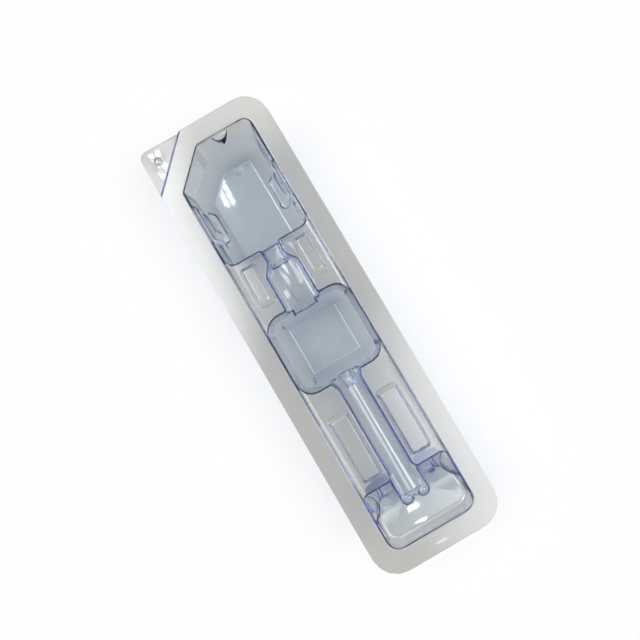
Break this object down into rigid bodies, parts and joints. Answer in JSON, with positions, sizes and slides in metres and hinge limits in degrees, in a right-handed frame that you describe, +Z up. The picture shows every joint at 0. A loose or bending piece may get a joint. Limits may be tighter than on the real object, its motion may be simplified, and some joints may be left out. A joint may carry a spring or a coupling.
{
  "type": "medical blister tray",
  "caption": "Clear thermoformed tray with stepped pockets, a neck saddle and a channel for one long instrument, with a flat seal flange and a lowered peel corner.",
  "frame": {"origin": "centre of the bounding box's bottom, under the middle of the tray, at the plane on which the pocket floors stand", "axes": "+X across the tray, +Y along it towards the head with the peel corner at -X, +Z up out of the pockets"},
  "size_m": [0.085, 0.304, 0.041],
  "materials": {
    "clear_sheet": "clear thermoformed PETG sheet, glossy on both faces, with a faint blue tint that deepens in the steep walls"
  },
  "bodies": {
    "root": {"tray": "clear_sheet"}
  },
  "joints": []
}
